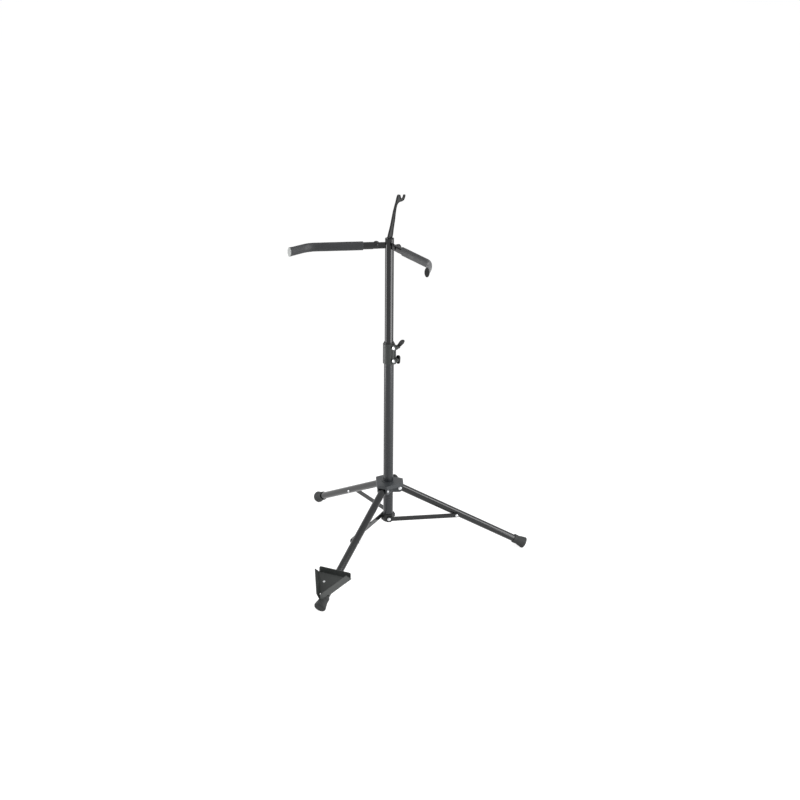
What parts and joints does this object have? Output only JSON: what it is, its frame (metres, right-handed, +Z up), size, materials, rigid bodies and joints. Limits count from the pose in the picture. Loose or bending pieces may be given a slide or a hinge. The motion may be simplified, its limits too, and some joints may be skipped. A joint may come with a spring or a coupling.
{
  "type": "cello stand",
  "caption": "Folding stand for a cello: sliding-hub tripod, height-adjustable column, two padded arms, a bow hook and an endpin tray on the front leg.",
  "frame": {"origin": "on the floor under the middle of the stand's outline; the column stands 96.7 mm behind it and 1.5 mm to its left", "axes": "+Z up along the column; -Y along the front leg, which carries the endpin tray; +X to the right of someone who faces the stand from the front leg"},
  "size_m": [0.6334, 0.572, 0.9286],
  "materials": {
    "black_steel": "semi-gloss black powder coat on steel",
    "tray_steel": "satin dark grey powder coat on sheet steel",
    "hub_plastic": "satin charcoal moulding",
    "collar_plastic": "satin black-green moulding",
    "black_plastic": "satin black moulding",
    "foam_sleeve": "matt charcoal foam rubber with a fine skin",
    "foot_rubber": "matt dark grey rubber",
    "zinc_steel": "bright zinc plate",
    "pale_cap": "pale grey moulding"
  },
  "bodies": {
    "column": {"lower_tube": "black_steel", "base_plug": "black_plastic", "height_collar": "collar_plastic", "collar_bush": "black_plastic", "upper_clamp_bolt": "zinc_steel", "lower_clamp_bolt": "zinc_steel", "lower_bracket": "black_plastic", "front_brace_bolt": "zinc_steel", "right_brace_bolt": "zinc_steel", "left_brace_bolt": "zinc_steel"},
    "upper_column": {"upper_tube": "black_steel", "bow_holder": "black_plastic", "left_arm_lug": "black_steel", "right_arm_lug": "black_steel", "left_arm_bolt": "black_steel", "right_arm_bolt": "black_steel"},
    "sliding_hub": {"hub": "hub_plastic", "front_hub_rivet": "zinc_steel", "right_hub_rivet": "zinc_steel", "left_hub_rivet": "zinc_steel"},
    "hub_lock": {"hub_lock_screw": "black_plastic"},
    "front_leg_set": {"front_leg": "black_steel", "front_leg_rivet": "zinc_steel", "front_foot": "foot_rubber", "endpin_tray": "tray_steel", "tray_saddle": "black_steel", "tray_rivet_1": "zinc_steel", "tray_rivet_2": "zinc_steel"},
    "right_leg_set": {"right_leg": "black_steel", "right_leg_rivet": "zinc_steel", "right_foot": "foot_rubber"},
    "left_leg_set": {"left_leg": "black_steel", "left_leg_rivet": "zinc_steel", "left_foot": "foot_rubber"},
    "front_brace_set": {"front_brace": "black_steel", "front_brace_rivet": "zinc_steel"},
    "right_brace_set": {"right_brace": "black_steel", "right_brace_rivet": "zinc_steel"},
    "left_brace_set": {"left_brace": "black_steel", "left_brace_rivet": "zinc_steel"},
    "left_arm_set": {"left_arm": "black_steel", "left_sleeve": "foam_sleeve", "left_end_cap": "pale_cap"},
    "right_arm_set": {"right_arm": "black_steel", "right_sleeve": "foam_sleeve", "right_end_cap": "black_plastic"},
    "left_knob": {"left_arm_knob": "black_plastic"},
    "right_knob": {"right_arm_knob": "black_plastic"},
    "upper_lever": {"upper_clamp_lever": "black_plastic"},
    "lower_nut": {"lower_thumb_nut": "black_plastic"}
  },
  "joints": [
    {"name": "height_slide", "type": "slide", "parent": "column", "child": "upper_column", "axis": [0, 0, 1], "range_m": [-0.2, 0.1]},
    {"name": "hub_slide", "type": "slide", "parent": "column", "child": "sliding_hub", "axis": [0, 0, 1], "range_m": [0, 0.24]},
    {"name": "front_leg_hinge", "type": "hinge", "parent": "sliding_hub", "child": "front_leg_set", "pos_m": [-0.00086, 0.06723, 0.178], "axis": [0.9997, 0.0227, 0], "range_deg": [0, 50]},
    {"name": "right_leg_hinge", "type": "hinge", "parent": "sliding_hub", "child": "right_leg_set", "pos_m": [0.02417, 0.11121, 0.178], "axis": [-0.4909, 0.8712, 0], "range_deg": [0, 50]},
    {"name": "left_leg_hinge", "type": "hinge", "parent": "sliding_hub", "child": "left_leg_set", "pos_m": [-0.02708, 0.11147, 0.178], "axis": [-0.5, -0.866, 0], "range_deg": [0, 50]},
    {"name": "front_brace_hinge", "type": "hinge", "parent": "column", "child": "front_brace_set", "pos_m": [-0.0015, 0.09523, 0.094], "axis": [-0.9997, -0.0227, 0], "range_deg": [0, 66.5]},
    {"name": "right_brace_hinge", "type": "hinge", "parent": "column", "child": "right_brace_set", "pos_m": [-0.00022, 0.09746, 0.094], "axis": [0.4909, -0.8712, 0], "range_deg": [0, 66.5]},
    {"name": "left_brace_hinge", "type": "hinge", "parent": "column", "child": "left_brace_set", "pos_m": [-0.00283, 0.09747, 0.094], "axis": [0.5, 0.866, 0], "range_deg": [0, 66.5]},
    {"name": "left_arm_fold", "type": "hinge", "parent": "upper_column", "child": "left_arm_set", "pos_m": [-0.02765, 0.07911, 0.8145], "axis": [0.5592, -0.829, 0], "range_deg": [0, 88]},
    {"name": "right_arm_fold", "type": "hinge", "parent": "upper_column", "child": "right_arm_set", "pos_m": [0.02458, 0.07911, 0.8145], "axis": [0.5592, 0.829, 0], "range_deg": [0, 88]},
    {"name": "left_knob_turn", "type": "hinge", "parent": "upper_column", "child": "left_knob", "pos_m": [-0.02765, 0.07911, 0.8145], "axis": [-0.5592, 0.829, 0], "continuous": true},
    {"name": "right_knob_turn", "type": "hinge", "parent": "upper_column", "child": "right_knob", "pos_m": [0.02458, 0.07911, 0.8145], "axis": [0.5592, 0.829, 0], "continuous": true},
    {"name": "upper_lever_turn", "type": "hinge", "parent": "column", "child": "upper_lever", "pos_m": [0.01837, 0.09139, 0.5575], "axis": [0.2588, 0.9659, 0], "range_deg": [-30, 100]},
    {"name": "lower_nut_turn", "type": "hinge", "parent": "column", "child": "lower_nut", "pos_m": [0.01837, 0.09139, 0.5239], "axis": [0.2588, 0.9659, 0], "range_deg": [-20, 20]},
    {"name": "hub_lock_turn", "type": "hinge", "parent": "sliding_hub", "child": "hub_lock", "pos_m": [-0.00153, 0.09672, 0.1875], "axis": [0, 1, 0], "continuous": true}
  ],
  "couplings": [
    {"joint": "front_leg_hinge", "follows": "hub_slide", "rad_per_m": 3.3014},
    {"joint": "right_leg_hinge", "follows": "hub_slide", "rad_per_m": 3.5621},
    {"joint": "left_leg_hinge", "follows": "hub_slide", "rad_per_m": 3.3942},
    {"joint": "front_brace_hinge", "follows": "hub_slide", "rad_per_m": 4.4459},
    {"joint": "right_brace_hinge", "follows": "hub_slide", "rad_per_m": 4.8206},
    {"joint": "left_brace_hinge", "follows": "hub_slide", "rad_per_m": 4.6974}
  ]
}
